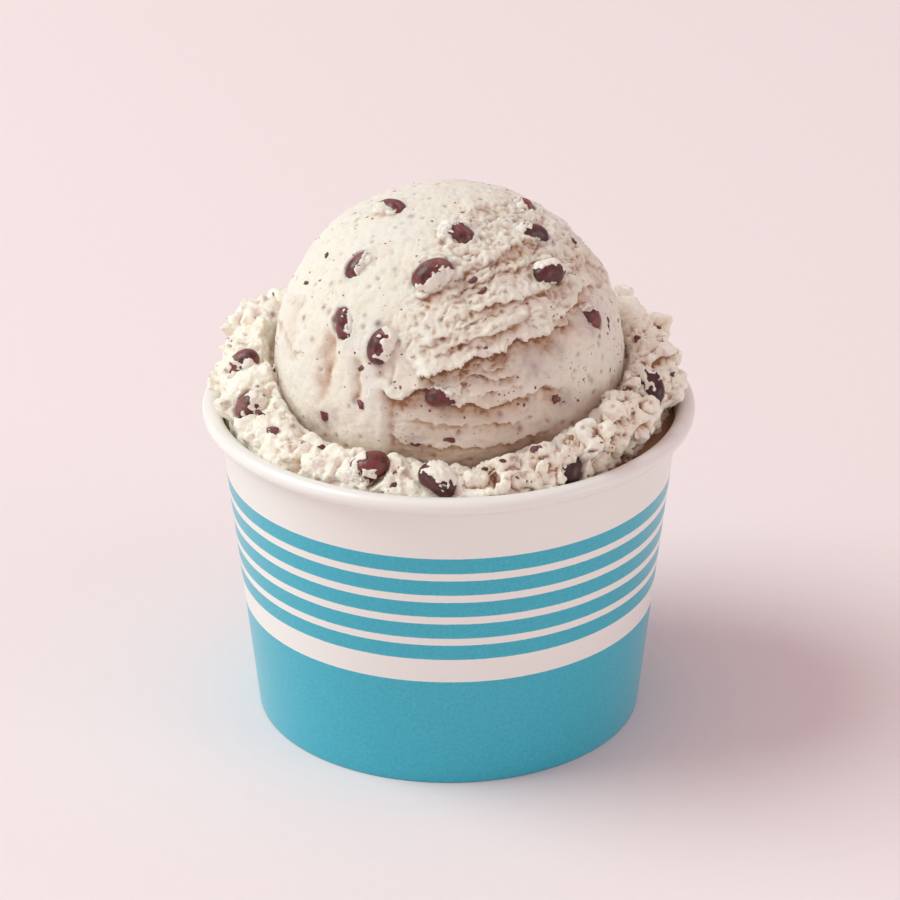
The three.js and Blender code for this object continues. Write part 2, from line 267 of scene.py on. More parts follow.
def length_setting(name, description, millimetres):
    return FloatProperty(
        name=name, description=description, unit="LENGTH", min=0, precision=5,
        default=millimetres * MM)


class PaperCupSettings(bpy.types.PropertyGroup):
    paperboard: length_setting("Paperboard", "Thickness of the wall and the bottom disc", 0.5)
    seam: length_setting("Seam", "Step where the wall's two ends overlap", 0.35)
    white: colour_setting("White", "Coated white of the paperboard", "#eeece7")
    ink: colour_setting("Ink", "Colour of the printed bands", "#28acc2")
    steps: IntProperty(
        name="Steps", description="Facets round the cup", default=256, min=32)


class GelatoSettings(bpy.types.PropertyGroup):
    cream: colour_setting("Cream", "Milk gelato where it is smooth", "#efebe0")
    # Colour of the painted shade laid into tears, creases, grooves and the shadowed recess beside
    # the wall.
    painted_shade: colour_setting("Painted shade", "Warmer tone down in tears and creases", "#bf9472")
    stain: colour_setting("Stain", "Tint that beans give the gelato over them", "#7d5a63")
    voxel: length_setting("Crumb resolution", "Finest crumb kept in the collar", 0.6)
    crumbs: IntProperty(
        name="Crumbs", description="Torn lumps along the collar", default=750, min=100)


class BeanSettings(bpy.types.PropertyGroup):
    skin: colour_setting("Skin", "Cooked red bean skin", "#86403b")
    edge: colour_setting("Dark skin", "Darker places on the skins", "#42191d")
    soaked: colour_setting("Soaked skin", "Specks of skin soaked with cream", "#86625a")
    flecks: IntProperty(
        name="Flecks", description="Specks of bean skin in the gelato", default=520, min=0)


class StudioSettings(bpy.types.PropertyGroup):
    floor: colour_setting("Floor", "Pale pink paper under the cup", "#f3e7e7")
    key: FloatProperty(name="Key light", description="Large soft light from the left, in watts",
                       default=35.0, min=0)
    fill: FloatProperty(name="Surrounding light", description="Even light from all round",
                        default=0.6, min=0)


# ---------------------------------------------------------------------------
# Small helpers
# ---------------------------------------------------------------------------

def smooth(value, start, end):
    """0 before start, 1 after end, soft between them."""
    t = np.clip((value - start) / (end - start), 0, 1)
    return t * t * (3 - 2 * t)


def mix(a, b, share):
    return a + (b - a) * share


def bell(distance, width):
    """1 at no distance, fading out over the width on either side."""
    return np.exp(-(distance / width) ** 2)


def azimuth_of(points):
    """Degrees round the cup's axis."""
    return np.degrees(np.arctan2(points[:, 1], points[:, 0]))


def radius_of(points):
    """Distance from the cup's axis."""
    return np.hypot(points[:, 0], points[:, 1])


TABLE_SIZE = 256
_random = np.random.default_rng(7)
SHUFFLE = _random.permutation(TABLE_SIZE)
SLOPES = _random.normal(size=(TABLE_SIZE, 3))
SLOPES /= np.linalg.norm(SLOPES, axis=1, keepdims=True)
SPOTS = _random.random((TABLE_SIZE, 3))


def cell_key(cell, seed):
    """A repeatable table index for each whole-number cell."""
    key = SHUFFLE[(cell[:, 0] + seed) % TABLE_SIZE]
    key = SHUFFLE[(key + cell[:, 1]) % TABLE_SIZE]
    return SHUFFLE[(key + cell[:, 2]) % TABLE_SIZE]


def noise(points, size, seed=0):
    """Smooth noise from about -1 to 1; size is the width of one lump in mm."""
    scaled = points / size
    cell = np.floor(scaled).astype(int)
    inner = scaled - cell
    fade = inner ** 3 * (inner * (inner * 6 - 15) + 10)
    total = np.zeros(len(points))
    for corner in itertools.product((0, 1), repeat=3):
        slope = SLOPES[cell_key(cell + corner, seed)]
        weight = np.where(corner, fade, 1 - fade).prod(axis=1)
        total += weight * np.einsum("ij,ij->i", slope, inner - corner)
    return total * 1.7


def layered(points, size, layers, seed=0):
    """Noise with finer and weaker layers on it."""
    return sum(noise(points, size / 2 ** i, seed + 11 * i) / 2 ** i for i in range(layers))


def shift(points, size, seeds, layers=1):
    """A noisy direction for each point, with one seed for each of its parts."""
    return np.stack([layered(points, size, layers, seed) for seed in seeds], axis=1)


def crests(points, size, seed=0):
    """0 to 1, with sharp crests and round hollows, as a torn surface has."""
    return (1 - np.minimum(np.abs(noise(points, size, seed)) * 1.6, 1)) ** 1.5


def mounds(points, size, seed=0):
    """0 to 1, with round tops and narrow creases between them, as crumbs pressed together."""
    return np.minimum(np.abs(noise(points, size, seed)) * 2.2, 1) ** 0.8


def plates(points, size, seed=0):
    """Flat levels with short ragged cliffs between them, from about -1 to 1."""
    level = noise(points, size, seed) * 2.4
    step = np.floor(level)
    return (step + smooth(level - step, 0.0, 0.3)) / 2.4


def pit_distance(points, size, seed=0):
    """Distance to the nearest of many scattered spots, in cells of the given size."""
    scaled = points / size
    cell = np.floor(scaled).astype(int)
    nearest = np.full(len(points), 9.0)
    for step in itertools.product((-1, 0, 1), repeat=3):
        near = cell + step
        spot = near + SPOTS[cell_key(near, seed)]
        nearest = np.minimum(nearest, np.linalg.norm(scaled - spot, axis=1))
    return nearest


def level_direction(azimuth):
    a = math.radians(azimuth)
    return np.array([math.cos(a), math.sin(a), 0.0])


def face_axes(azimuth):
    """Right, up and outward directions of a face of the scoop."""
    level, tilt = level_direction(azimuth), math.radians(FACE_TILT)
    right = np.array([-level[1], level[0], 0.0])
    out = level * math.cos(tilt) + np.array([0, 0, math.sin(tilt)])
    return right, np.cross(out, right), out


def softened(line, pieces=5):
    """A rounded line through the given corners."""
    corners = np.array([line[0], *line, line[-1]], float)
    result = []
    for i in range(1, len(corners) - 2):
        before, start, end, after = corners[i - 1:i + 3]
        for t in np.linspace(0, 1, pieces, endpoint=False):
            result.append(0.5 * (2 * start + (end - before) * t
                                 + (2 * before - 5 * start + 4 * end - after) * t ** 2
                                 + (3 * start - before - 3 * end + after) * t ** 3))
    result.append(corners[-1])
    return np.array(result)


def from_line(flat, line):
    """How far points of a plane lie to the left of a line, and how far along it (0 to 1)."""
    line = softened(line)
    best = np.full(len(flat), 1e9)
    left, along = np.zeros(len(flat)), np.zeros(len(flat))
    count = len(line) - 1
    for i, (start, end) in enumerate(zip(line[:-1], line[1:])):
        step = end - start
        t = np.clip(((flat - start) @ step) / (step @ step), 0, 1)
        away = flat - (start + t[:, None] * step)
        distance = np.hypot(away[:, 0], away[:, 1])
        closer = distance < best
        side = np.sign(step[0] * away[:, 1] - step[1] * away[:, 0])
        best = np.where(closer, distance, best)
        left = np.where(closer, side * distance, left)
        along = np.where(closer, (i + t) / count, along)
    return left, along


def wall_radius(z):
    """Outside radius of the cup's wall at a height."""
    return FOOT_RADIUS + WALL_SLOPE * z


def write_points(mesh, points):
    mesh.vertices.foreach_set("co", np.asarray(points, dtype=np.float32).ravel())
    mesh.update()


def make_object(name, mesh, materials, nodes=()):
    """Links a mesh given in mm as a piece that rides on the body and stands for its nodes."""
    mesh.transform(Matrix.Scale(MM, 4))
    mesh.polygons.foreach_set("use_smooth", [True] * len(mesh.polygons))
    for material in materials:
        mesh.materials.append(material)
    piece = bpy.data.objects.new(name, mesh)
    bpy.context.scene.collection.objects.link(piece)
    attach(piece, "root")
    if nodes:
        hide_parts(*nodes)
    return piece


def mesh_from(bm, name):
    mesh = bpy.data.meshes.new(name)
    bm.to_mesh(mesh)
    bm.free()
    return mesh


def spun(profile, steps, closed):
    """A profile of (radius, height) pairs turned round the Z axis."""
    bm = bmesh.new()
    corners = [bm.verts.new((radius, 0, height)) for radius, height in profile]
    ends = corners[1:] + corners[:1] if closed else corners[1:]
    edges = [bm.edges.new(pair) for pair in zip(corners, ends)]
    bmesh.ops.spin(bm, geom=corners + edges, cent=(0, 0, 0), axis=(0, 0, 1),
                   angle=math.tau, steps=steps, use_merge=True, use_duplicate=False)
    bmesh.ops.remove_doubles(bm, verts=bm.verts, dist=1e-4)
    bmesh.ops.recalc_face_normals(bm, faces=bm.faces)
    return bm


def blobs(matrices, subdivisions):
    """Many small balls, each placed and stretched by its own matrix."""
    whole = bmesh.new()
    for start in range(0, len(matrices), 40):
        few = bmesh.new()
        for matrix in matrices[start:start + 40]:
            bmesh.ops.create_icosphere(few, subdivisions=subdivisions, radius=1, matrix=matrix)
        batch = mesh_from(few, "batch")
        whole.from_mesh(batch)
        bpy.data.meshes.remove(batch)
    return whole


def neighbour_mean(mesh, values, rounds):
    """Values at the vertices, averaged with their neighbours a number of times."""
    pairs = np.empty(len(mesh.edges) * 2, dtype=np.int32)
    mesh.edges.foreach_get("vertices", pairs)
    a, b = pairs.reshape(-1, 2).T
    count = len(mesh.vertices)
    degree = np.maximum(np.bincount(a, minlength=count) + np.bincount(b, minlength=count), 1)
    for _ in range(rounds):
        summed = np.stack([
            np.bincount(a, values[b, k], count) + np.bincount(b, values[a, k], count)
            for k in range(values.shape[1])], axis=1)
        values = 0.5 * values + 0.5 * summed / degree[:, None]
    return values


def vertex_normals(mesh):
    flat = np.empty(len(mesh.vertices) * 3)
    mesh.vertices.foreach_get("normal", flat)
    return flat.reshape(-1, 3)


def paint(mesh, name, values):
    """Stores one value for each vertex, for a material to read."""
    layer = mesh.attributes.new(name, "FLOAT", "POINT")
    layer.data.foreach_set("value", np.asarray(values, dtype=np.float32))


def hollow_depth(mesh, rounds):
    """How far each vertex lies under the smoothed surface round it."""
    points = read_points(mesh)
    lifted = neighbour_mean(mesh, points, rounds) - points
    return np.einsum("ij,ij->i", lifted, vertex_normals(mesh))


# ---------------------------------------------------------------------------
# Materials
# ---------------------------------------------------------------------------

def new_material(name):
    material = bpy.data.materials.new(name)
    material.use_nodes = True
    tree = material.node_tree
    tree.nodes.clear()
    return material, tree


def add(tree, kind, inputs=None, **settings):
    """Adds a node, sets its properties, and sets or links its inputs."""
    node = tree.nodes.new(kind)
    for name, value in settings.items():
        setattr(node, name, value)
    for key, value in (inputs or {}).items():
        if isinstance(value, bpy.types.NodeSocket):
            tree.links.new(value, node.inputs[key])
        else:
            node.inputs[key].default_value = value
    return node


def surface(tree, inputs):
    """The material's one shader, with the given inputs."""
    shader = add(tree, "ShaderNodeBsdfPrincipled", inputs)
    add(tree, "ShaderNodeOutputMaterial", {"Surface": shader.outputs["BSDF"]})


def object_place(tree):
    return add(tree, "ShaderNodeTexCoord").outputs["Object"]


def painted(tree, name):
    """A value that paint() stored at the vertices."""
    return add(tree, "ShaderNodeAttribute", attribute_name=name).outputs["Fac"]


def bumped(tree, height, strength, millimetres):
    """The surface's direction, tilted by a relief of the given depth."""
    node = add(tree, "ShaderNodeBump",
               {"Height": height, "Strength": strength, "Distance": millimetres * MM})
    return node.outputs["Normal"]


def blended(tree, share, first, second):
    """Colour between two others; each is a colour or a socket."""
    colours = [c if isinstance(c, bpy.types.NodeSocket) else (*c, 1) for c in (first, second)]
    node = add(tree, "ShaderNodeMix", {"Factor": share}, data_type="RGBA")
    for index, colour in zip((6, 7), colours):
        if isinstance(colour, bpy.types.NodeSocket):
            tree.links.new(colour, node.inputs[index])
        else:
            node.inputs[index].default_value = colour
    return node.outputs[2]


def ramp(tree, value, low, high):
    """0 at low, 1 at high, straight between them and held outside."""
    node = add(tree, "ShaderNodeMapRange", {"Value": value, "From Min": low, "From Max": high})
    return node.outputs["Result"]


def sum_of(tree, a, b, operation="ADD"):
    return add(tree, "ShaderNodeMath", {0: a, 1: b}, operation=operation).outputs[0]


def grain(tree, place, millimetres, detail=2.0, roughness=0.5):
    """Noise whose lumps are the given number of millimetres wide."""
    node = add(tree, "ShaderNodeTexNoise", {
        "Vector": place, "Scale": 1 / (millimetres * MM), "Detail": detail,
        "Roughness": roughness})
    return node.outputs["Fac"]


def printed_paperboard(white, ink):
    """Clay-coated paperboard printed in one flat ink: an even sheen, and a faint mottle
    where the ink took unevenly on the fibres."""
    material, tree = new_material("printed coated paperboard")
    place = object_place(tree)
    height = add(tree, "ShaderNodeSeparateXYZ", {"Vector": place}).outputs["Z"]
    wobble = sum_of(tree, grain(tree, place, 0.9), 0.12 * MM, "MULTIPLY")
    height = sum_of(tree, height, wobble)
    bleed = 0.05 * MM
    printed = None
    for low, high in BANDS:
        above = ramp(tree, height, low * MM - bleed, low * MM + bleed)
        below = ramp(tree, height, high * MM + bleed, high * MM - bleed)
        band = sum_of(tree, above, below, "MULTIPLY")
        printed = band if printed is None else sum_of(tree, printed, band, "MAXIMUM")
    mottle = ramp(tree, grain(tree, place, 0.55, 4, 0.65), 0.3, 0.7)
    light_ink = tuple(min(1, c * 1.12 + 0.012) for c in ink)
    dark_ink = tuple(c * 0.9 for c in ink)
    inked = blended(tree, mottle, dark_ink, light_ink)
    colour = blended(tree, printed, tuple(white), inked)
    fibres = sum_of(tree, grain(tree, place, 0.35, 3, 0.6), grain(tree, place, 4.0, 2))
    surface(tree, {
        "Base Color": colour, "Roughness": 0.42, "IOR": 1.5, "Specular IOR Level": 0.4,
        "Coat Weight": 0.6, "Coat Roughness": 0.25, "Normal": bumped(tree, fibres, 0.12, 0.05)})
    return material


def plain_paperboard(white):
    """The uncoated inner side of the paperboard: matte, with a fine fibre grain."""
    material, tree = new_material("uncoated paperboard")
    place = object_place(tree)
    fibre = grain(tree, place, 0.4, 4, 0.6)
    colour = blended(tree, ramp(tree, fibre, 0.3, 0.7), tuple(c * 0.93 for c in white),
                     tuple(white))
    surface(tree, {
        "Base Color": colour, "Roughness": 0.6, "Normal": bumped(tree, fibre, 0.2, 0.06)})
    return material


def churned_gelato(name, cream, painted_shade, stain, coarse):
    """Churned milk gelato, scooped half frozen: light sinks in and comes back warm, crests
    keep the pale cream, tears and creases get a warm brown painted shade, and beans tint
    what lies thin over them."""
    material, tree = new_material(name)
    place = object_place(tree)
    # The amount of painted shade stored at each vertex.
    depth = painted(tree, "painted_shade")
    tinted = painted(tree, "stain")
    patchy = ramp(tree, grain(tree, place, 7.0, 3), 0.35, 0.7)
    richer = tuple(c * f for c, f in zip(cream, (1, 0.975, 0.93)))
    pale = blended(tree, patchy, tuple(cream), richer)
    # Painted shade: warm brown as the painted value rises, darker brown beyond 0.78.
    colour = blended(tree, depth, pale, tuple(painted_shade))
    colour = blended(tree, ramp(tree, depth, 0.78, 1.25), colour, DEEPEST_PAINTED_SHADE)
    colour = blended(tree, tinted, colour, tuple(stain))
    specks = ramp(tree, grain(tree, place, 0.28, 2, 0.5), 0.70, 0.76)
    colour = blended(tree, sum_of(tree, specks, 0.45, "MULTIPLY"), colour, FINE_SPECKS)
    crumb = sum_of(tree, grain(tree, place, 1.1, 4, 0.65), grain(tree, place, 0.4, 3, 0.7))
    surface(tree, {
        "Base Color": colour, "Roughness": 0.52, "IOR": 1.35, "Specular IOR Level": 0.35,
        "Subsurface Weight": 0.55, "Subsurface Radius": (1.0, 0.72, 0.5),
        "Subsurface Scale": 0.9 * MM, "Normal": bumped(tree, crumb, coarse, 0.35)})
    return material


def cooked_bean_skin(name, skin, edge, smear):
    """Boiled red bean: a thin glossy skin, mottled and a little wrinkled, with a film of
    melted cream drying on parts of it."""
    material, tree = new_material(name)
    place = object_place(tree)
    mottle = ramp(tree, grain(tree, place, 2.2, 4, 0.6), 0.35, 0.68)
    colour = blended(tree, mottle, tuple(edge), tuple(skin))
    cloudy = ramp(tree, grain(tree, place, 3.4, 4, 0.6), 0.52, 0.7)
    colour = blended(tree, sum_of(tree, cloudy, smear, "MULTIPLY"), colour, CLOUDED_SKIN)
    # Painted shade on the beans that lie in shadow.
    colour = blended(tree, painted(tree, "dark"), colour, tuple(0.7 * c for c in edge))
    film = ramp(tree, painted(tree, "film"), 0.35, 0.6)
    colour = blended(tree, film, colour, DRIED_CREAM)
    sheen = add(tree, "ShaderNodeMapRange", {"Value": film, "To Min": 0.36, "To Max": 0.6})
    wrinkle = sum_of(tree, grain(tree, place, 0.7, 3, 0.6), grain(tree, place, 2.5, 2))
    surface(tree, {
        "Base Color": colour, "Roughness": sheen.outputs["Result"], "IOR": 1.45,
        "Specular IOR Level": 0.6, "Subsurface Weight": 0.15,
        "Subsurface Radius": (1.0, 0.3, 0.2), "Subsurface Scale": 0.8 * MM,
        "Normal": bumped(tree, wrinkle, 0.35, 0.2)})
    return material


def sweep_paper(colour):
    """Matte pink background paper: flat, with the faintest tooth."""
    material, tree = new_material("background paper")
    place = object_place(tree)
    tooth = ramp(tree, grain(tree, place, 3.0, 3), 0.2, 0.8)
    shade = blended(tree, tooth, tuple(c * 0.985 for c in colour), tuple(colour))
    surface(tree, {"Base Color": shade, "Roughness": 0.9, "Specular IOR Level": 0.1})
    return material


# ---------------------------------------------------------------------------
# Paper cup
# ---------------------------------------------------------------------------

def roll_arc(board, inset, start, end, steps):
    """Points round the rolled rim's section, which touches the wall's inner side."""
    centre = CUP_HEIGHT - ROLL_HEIGHT / 2
    half = (RIM_RADIUS - (wall_radius(centre) - board)) / 2
    angles = np.radians(np.linspace(start, end, steps))
    return [(RIM_RADIUS - half + (half - inset) * math.cos(a),
             centre + (ROLL_HEIGHT / 2 - inset) * math.sin(a)) for a in angles]


def wall_profile(board):
    """The one sheet of the wall: curled out at the rim and turned up inside at the foot."""
    hem = board + board + 2 * CLEARANCE
    rows = np.linspace(0.4, CUP_HEIGHT - ROLL_HEIGHT - 1, 30)
    outside = [(wall_radius(z), z) for z in rows]
    inside = [(wall_radius(z) - board, z) for z in rows[::-1] if z > 2 * board]
    return [
        (wall_radius(0) - 0.25, 0), (wall_radius(0) - 0.06, 0.1), *outside,
        *roll_arc(board, board, 180, ROLL_END, 16),
        *roll_arc(board, 0, ROLL_END, 180, 22),
        *inside,
        (wall_radius(board) - board, board), (wall_radius(board) - hem, board),
        (wall_radius(HEM_HEIGHT) - hem, HEM_HEIGHT),
        (wall_radius(HEM_HEIGHT) - hem - board, HEM_HEIGHT),
        (wall_radius(0) - hem - board, 0.1), (wall_radius(0) - hem - board + 0.1, 0),
    ]


SEAM_AZIMUTH = 118  # where the wall's ends overlap
SEAM_WIDTH = 12  # degrees over which the overlap fades into the wall


def cup_wall_mesh(cup):
    board = cup.paperboard / MM
    bm = spun(wall_profile(board), cup.steps, closed=True)
    bm.faces.ensure_lookup_table()
    for face in bm.faces:
        centre = face.calc_center_median()
        middle = wall_radius(centre.z) - board / 2
        outer_side = math.hypot(centre.x, centre.y) > middle
        face.material_index = 0 if outer_side else 1
    mesh = mesh_from(bm, "cup_wall_finish")
    points = read_points(mesh)
    radius = radius_of(points)
    past = (azimuth_of(points) - SEAM_AZIMUTH) % 360
    step = np.where(past < SEAM_WIDTH, 1 - past / SEAM_WIDTH, 0) * cup.seam / MM
    outer = smooth(radius - wall_radius(points[:, 2]), -0.1, -0.02)
    below_rim = 1 - smooth(points[:, 2], CUP_HEIGHT - ROLL_HEIGHT - 1, CUP_HEIGHT - ROLL_HEIGHT)
    uneven = 0.06 * noise(points, 22, 3) + 0.03 * noise(points, 9, 4)
    scale = 1 + (step * outer * below_rim + uneven * smooth(points[:, 2], 2, 12)) / radius
    points[:, :2] *= scale[:, None]
    write_points(mesh, points)
    return mesh


def cup_base_mesh(cup):
    board = cup.paperboard / MM
    top = FLOOR_HEIGHT
    foot = board + CLEARANCE

    def outside(z):
        return wall_radius(z) - board - CLEARANCE

    profile = [(0, top - board), (outside(top) - board - 0.6, top - board),
               (outside(top) - board, top - board - 0.6), (outside(foot) - board, foot),
               (outside(foot), foot), (outside(top), top - 0.5), (outside(top) - 0.5, top),
               (0, top)]
    return mesh_from(spun(profile, cup.steps, closed=False), "cup_base_finish")


# ---------------------------------------------------------------------------
# Beans
# ---------------------------------------------------------------------------

def bean_axes(node):
    """Centre, axes (length, width, outward) and half sizes of a packed bean."""
    points = node_points(node)
    centre = (points.max(0) + points.min(0)) / 2
    spread = np.cov((points - points.mean(0)).T)
    _, vectors = np.linalg.eigh(spread)
    out_hint = centre - SCOOP_CENTRE * [1, 1, 0.9]
    out_hint /= np.linalg.norm(out_hint)
    length = vectors[:, 2]
    out = out_hint - length * (out_hint @ length)
    out /= np.linalg.norm(out)
    if length[0] < 0:
        length = -length
    axes = np.stack([length, np.cross(out, length), out])
    local = (points - centre) @ axes.T
    return centre, axes, (local.max(0) - local.min(0)) / 2


BEAN_RINGS = 64
BEAN_ROWS = 40
BEAN_SINK = 0.35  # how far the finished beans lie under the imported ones


def bean_mesh(node, seed):
    """A kidney: rounder on its back, pulled in along its belly, slightly wrinkled."""
    centre, axes, half = bean_axes(node)
    bm = bmesh.new()
    bmesh.ops.create_uvsphere(bm, u_segments=BEAN_RINGS, v_segments=BEAN_ROWS, radius=1)
    mesh = mesh_from(bm, node + "_skin")
    unit = read_points(mesh)
    belly = np.maximum(-unit[:, 1], 0) * bell(unit[:, 0], 0.5)
    blunt = 1 + 0.06 * np.abs(unit[:, 0]) * (1 - unit[:, 0] ** 2)
    shape = unit * blunt[:, None]
    shape[:, 1] += 0.2 * belly
    shape *= half
    shape += unit * (0.1 * noise(shape + seed * 9.7, 2.4, seed))[:, None]
    cover, cover_side = BEAN_COVERS[node]
    towards = unit[:, :2] @ seen_side(cover_side, axes)
    islands = 0.9 * noise(shape + seed, 1.7, 65) + 0.6 * noise(shape + seed, 0.8, 66)
    broken = 0.9 if node in SUNK_BEANS else 0.5
    film = smooth(towards + broken * islands, 0.95 - 1.4 * cover, 1.12 - 1.4 * cover)
    crumbly = np.abs(noise(shape + seed, 1.6, 67)) + 0.5 * np.abs(noise(shape + seed, 0.7, 68))
    shape += unit * (film * (0.15 + 0.75 * crumbly))[:, None]
    shape[:, 2] -= BEAN_SINK
    write_points(mesh, shape @ axes + centre)
    paint(mesh, "film", film)
    # How much painted shade this bean gets.
    paint(mesh, "dark", np.full(len(shape), BEANS_IN_PAINTED_SHADE.get(node, 0)))
    return mesh


def bean_gap(points, centre, axes, half):
    """How far points are from a bean, as a share of its half sizes (1 on its skin)."""
    return np.linalg.norm(((points - centre) @ axes.T) / half, axis=1)


# ---------------------------------------------------------------------------
# The scoop
# ---------------------------------------------------------------------------

def scoop_start():
    """An even ball of triangles, finer over the torn front and top."""
    bm = bmesh.new()
    bmesh.ops.create_icosphere(bm, subdivisions=7, radius=1)
    fine = Vector((0.12, -0.86, 0.5)).normalized()
    chosen = {v for v in bm.verts if v.co.z > -0.3 and v.co.dot(fine) > 0.2}
    edges = [e for e in bm.edges if e.verts[0] in chosen and e.verts[1] in chosen]
    bmesh.ops.subdivide_edges(bm, edges=edges, cuts=1, use_grid_fill=True)
    bmesh.ops.triangulate(bm, faces=bm.faces)
    return mesh_from(bm, "gelato_scoop_finish")


def in_face(points, azimuth):
    """Points of the scoop in a face's plane, and how squarely they face outward."""
    right, up, out = face_axes(azimuth)
    return np.stack([points @ right, points @ up], axis=1), points @ out


def ragged(flat, points, amount, seed):
    """Shifts the drawing plane about, so that a line in it comes out torn."""
    torn = np.stack([
        amount * (0.9 * noise(points, 5.0, seed) + 0.5 * noise(points, 1.8, seed + 1)
                  + 0.28 * noise(points, 0.8, seed + 2)),
        amount * (0.9 * noise(points, 5.0, seed + 3) + 0.6 * noise(points, 1.8, seed + 4)
                  + 0.34 * noise(points, 0.8, seed + 5)),
    ], axis=1)
    return flat + torn


def ledge_relief(points):
    """How far the ledges lift the surface, how far they drag it down over its edge, and how
    much painted shade each point gets in the shadow under a lip."""
    lift = np.zeros(len(points))
    deep_shade = np.zeros(len(points))
    drag = np.zeros_like(points)
    for number, (azimuth, line, height, reach, hang) in enumerate(LEDGES):
        flat, out = in_face(points, azimuth)
        low, high = np.min(line, axis=0) - 12, np.max(line, axis=0) + 12
        near = (out > -4) & (flat > low).all(axis=1) & (flat < high).all(axis=1)
        torn = ragged(flat[near], points[near], 0.95, 40 + 7 * number)
        above, along = from_line(torn, line)
        ends = smooth(along, 0, 0.1) * (1 - smooth(along, 0.9, 1.0))
        waver = np.clip(0.8 + 0.55 * noise(points[near], 4.5, 90 + number), 0.15, 1.3)
        swell = np.exp(-np.maximum(above, 0) / reach) * smooth(above, -0.35, 0.1)
        under = 0.3 * bell(above + 0.6, 0.5) + 0.3 * bell(above + 1.6, 1.4)
        lift[near] += height * ends * waver * (swell - under * (above < 0.1))
        lip = np.exp(-np.maximum(above, 0) / 0.9) * smooth(above, -0.3, 0.1)
        drag[near] -= (hang * ends * waver * lip)[:, None] * face_axes(azimuth)[1]
        # Painted shade under each lip, stronger for taller ledges.
        below = bell(above + 1.3, 0.6 + 0.7 * height) * (above < -0.1)
        deep_shade[near] = np.maximum(deep_shade[near], min(height / 2.2, 1) * ends * waver * below)
    return lift, drag, deep_shade


def groove_relief(points):
    sunk = np.zeros(len(points))
    for azimuth, line, depth, half_width in GROOVES:
        flat, out = in_face(points, azimuth)
        flat = flat + 0.7 * shift(points, 3.2, (61, 62))
        side, along = from_line(flat, line)
        ends = smooth(along, 0, 0.25) * (1 - smooth(along, 0.75, 1.0))
        sunk -= depth * ends * (out > 0) * bell(side, half_width)
    return sunk


def torn_share(points):
    """1 where the scoop is torn, 0 where it is smooth."""
    share = np.zeros(len(points))
    for azimuth, (right, up), half_width, half_height, _ in PATCHES:
        flat, out = in_face(points, azimuth)
        flat = flat + 1.8 * shift(points, 6, (5, 6))
        away = np.hypot((flat[:, 0] - right) / half_width, (flat[:, 1] - up) / half_height)
        patch = (1 - smooth(away, 0.72, 1.08)) * smooth(out, -6, 4)
        if azimuth == FRONT:
            left, _ = from_line(flat, SMOOTH_EDGE)
            above, _ = from_line(flat, LEDGES[0][1])
            plain = smooth(flat[:, 0], 8, 13) * (1 - smooth(above, -1.5, 0.5))
            patch *= smooth(-left, -5.0, 5.0) * (1 - 0.65 * plain)
        share = np.maximum(share, patch)
    return share


def torn_relief(points):
    """Ragged plates lying like scales, each swelling to a lip on its lower side."""
    relief = np.zeros(len(points))
    for azimuth, _, _, _, slope in PATCHES:
        flat, out = in_face(points, azimuth)
        angle = math.radians(slope)
        along = flat[:, 0] * math.cos(angle) + flat[:, 1] * math.sin(angle)
        across = flat[:, 1] * math.cos(angle) - flat[:, 0] * math.sin(angle)
        across = across + 3.4 * noise(points, 12, 8) + 1.6 * noise(points, 4.6, 9)
        across = across + 0.7 * noise(points, 1.9, 10) + 0.34 * noise(points, 0.85, 11)
        here = out > -6
        for number, (pitch, height) in enumerate([(5.6, 0.6), (2.7, 0.36), (1.3, 0.13)]):
            phase = across / pitch + 0.37 * number
            step = np.floor(phase)
            key = np.stack([along / (2.2 * pitch), step * 5.37, step * 0 + number], axis=1)
            strength = np.clip(0.5 + 1.2 * noise(key, 1.0, 20 + number), 0, 1.3)
            relief += here * height * strength * ((1 - (phase - step)) ** 1.7 - 0.35)
        drawn = np.stack([along / 1.7, across, out / 1.7], axis=1)
        relief += here * 0.34 * (mounds(drawn, 2.0, 33) - 0.5)
        relief += here * 0.3 * (crests(drawn, 1.3, 34) - 0.4)
    return relief


